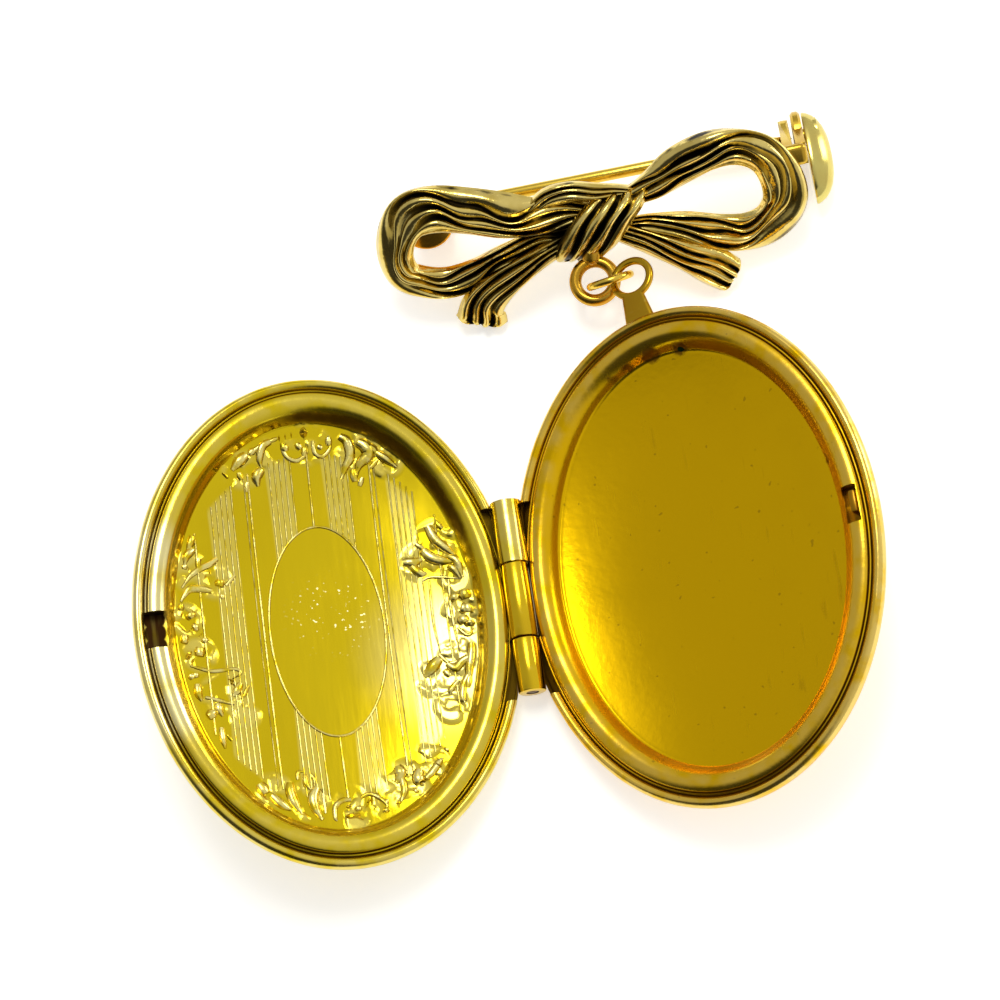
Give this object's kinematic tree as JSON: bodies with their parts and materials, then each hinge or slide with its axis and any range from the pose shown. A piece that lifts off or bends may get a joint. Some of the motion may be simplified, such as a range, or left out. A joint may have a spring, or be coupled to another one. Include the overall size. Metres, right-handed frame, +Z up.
{
  "type": "locket brooch",
  "caption": "Open oval locket with a stamped cover, hanging by a jump ring from a ribbed ribbon-bow brooch with a pin and safety catch.",
  "frame": {"origin": "middle of the bounding box's bottom, on the table", "axes": "+X along the brooch's pin from its joint to its catch, +Y along the locket's hinge towards the bow, +Z up from the table"},
  "size_m": [0.0596, 0.0562, 0.0116],
  "materials": {
    "locket_gilt": "polished gilt outside, satin floor inside",
    "cover_gilt": "polished gilt",
    "bow_gilt": "polished gilt with dark grooves",
    "wire_gilt": "polished gilt wire"
  },
  "bodies": {
    "brooch": {"bow": "bow_gilt", "locket_back": "locket_gilt", "hinge_pin": "wire_gilt", "jump_ring": "wire_gilt"},
    "cover": {"locket_cover": "cover_gilt"},
    "pin": {"pin_stem": "wire_gilt"},
    "lever": {"catch_lever": "bow_gilt"}
  },
  "joints": [
    {"name": "locket_hinge", "type": "hinge", "parent": "brooch", "child": "cover", "pos_m": [-0.00086, -0.0082, 0.00184], "axis": [0, 1, 0], "range_deg": [0, 142]},
    {"name": "pin_hinge", "type": "hinge", "parent": "brooch", "child": "pin", "pos_m": [-0.00346, 0.02599, 0.0021], "axis": [0, 0.8192, 0.5736], "range_deg": [0, 60]},
    {"name": "catch_turn", "type": "hinge", "parent": "brooch", "child": "lever", "pos_m": [0.02824, 0.02599, 0.0021], "axis": [1, 0, 0], "range_deg": [0, 75]}
  ]
}
